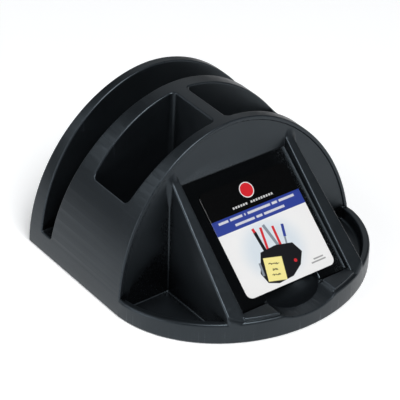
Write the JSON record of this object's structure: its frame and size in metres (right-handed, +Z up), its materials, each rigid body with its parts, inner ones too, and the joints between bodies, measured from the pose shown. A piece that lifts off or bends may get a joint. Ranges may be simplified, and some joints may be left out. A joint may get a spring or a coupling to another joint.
{
  "type": "desk organizer",
  "caption": "Low arched desk organizer with a letter slot across the back, two pen pockets, two side trays and a sloping note holder with a finger scoop",
  "frame": {"origin": "on the desk, in the middle of the organizer's plan", "axes": "+X across to the right seen from the front, +Y towards the letter slot at the rear, +Z up"},
  "size_m": [0.176, 0.1664, 0.099],
  "materials": {
    "body_plastic": "fine moulded grain, dark slate",
    "label_card": "coated printed card",
    "pad_rubber": "matte"
  },
  "bodies": {
    "root": {"organizer_body": "body_plastic", "label": "label_card", "pad_front_left": "pad_rubber", "pad_front_right": "pad_rubber", "pad_rear_left": "pad_rubber", "pad_rear_right": "pad_rubber"}
  },
  "joints": []
}
